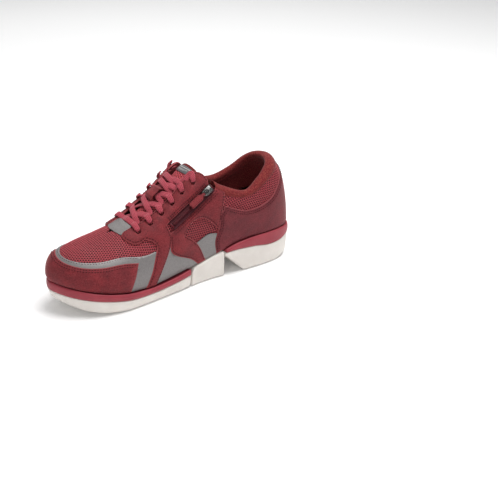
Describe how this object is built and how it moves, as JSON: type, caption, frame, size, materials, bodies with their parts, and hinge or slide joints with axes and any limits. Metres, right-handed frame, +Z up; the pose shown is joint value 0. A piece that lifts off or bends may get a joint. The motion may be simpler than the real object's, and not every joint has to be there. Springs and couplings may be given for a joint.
{
  "type": "walking shoe",
  "caption": "Right-foot lace-up walking shoe with mesh and nubuck upper, a side zip on the inner side, padded collar and a rocker sole of separate lugs.",
  "frame": {"origin": "centre of the footprint on the floor, under the sole", "axes": "+X towards the toe, +Y towards the inner (medial) side with the zip, +Z up"},
  "size_m": [0.2778, 0.1059, 0.116],
  "materials": {
    "nubuck": "matte nubuck",
    "nubuck_dark": "matte nubuck",
    "air_mesh": "spacer mesh",
    "knit_lining": "knit",
    "pale_lining": "plain",
    "grey_trim": "reflective film",
    "midsole": "satin foam",
    "outsole": "matte",
    "lace": "woven",
    "zip_tape": "woven",
    "zip_teeth": "satin",
    "gunmetal": "gunmetal",
    "badge": "satin"
  },
  "bodies": {
    "shoe": {"toe_cap": "nubuck", "eyestay_inner": "nubuck", "eyestay_outer": "nubuck", "quarter_inner": "nubuck", "quarter_outer": "nubuck", "lace_keeper": "nubuck", "heel_counter": "nubuck_dark", "heel_backstay": "nubuck_dark", "vamp_mesh": "air_mesh", "quarter_mesh_inner": "air_mesh", "quarter_mesh_outer": "air_mesh", "collar_mesh": "air_mesh", "tongue_lower": "air_mesh", "collar_lining": "knit_lining", "insole": "knit_lining", "lining_forepart": "pale_lining", "lining_quarters": "pale_lining", "heel_stiffener": "pale_lining", "toe_puff": "pale_lining", "collar_foam": "pale_lining", "insole_board": "pale_lining", "toe_trim": "grey_trim", "throat_tab": "grey_trim", "wedge_inner": "grey_trim", "wedge_outer": "grey_trim", "arch_patch_inner": "grey_trim", "arch_patch_outer": "grey_trim", "midsole_forefoot": "midsole", "midsole_heel": "midsole", "outsole_forefoot": "outsole", "outsole_midfoot": "outsole", "outsole_heel": "outsole", "lace": "lace", "zip_tape_front": "zip_tape", "zip_tape_rear": "zip_tape", "zip_chain": "zip_teeth", "zip_top_stop": "zip_teeth", "zip_bottom_stop": "zip_teeth", "side_badge": "badge"},
    "tongue_flap": {"tongue_upper": "air_mesh", "tongue_label": "grey_trim"},
    "zip_slider_body": {"zip_slider": "gunmetal"},
    "zip_link_body": {"zip_link": "gunmetal"},
    "zip_tab_body": {"zip_tab": "nubuck"}
  },
  "joints": [
    {"name": "tongue_bend", "type": "hinge", "parent": "shoe", "child": "tongue_flap", "pos_m": [-0.0081, 0.0025, 0.10711], "axis": [0, 1, 0], "range_deg": [-12, 30]},
    {"name": "zip_slide", "type": "slide", "parent": "shoe", "child": "zip_slider_body", "axis": [0.8717, 0.0988, -0.48], "range_m": [0, 0.046]},
    {"name": "link_swing", "type": "hinge", "parent": "zip_slider_body", "child": "zip_link_body", "pos_m": [-0.02489, 0.03392, 0.09725], "axis": [0.4202, -0.6546, 0.6284], "range_deg": [0, 120]},
    {"name": "tab_swing", "type": "hinge", "parent": "zip_link_body", "child": "zip_tab_body", "pos_m": [-0.01878, 0.03461, 0.09389], "axis": [0.4202, -0.6546, 0.6284], "range_deg": [0, 60]}
  ]
}
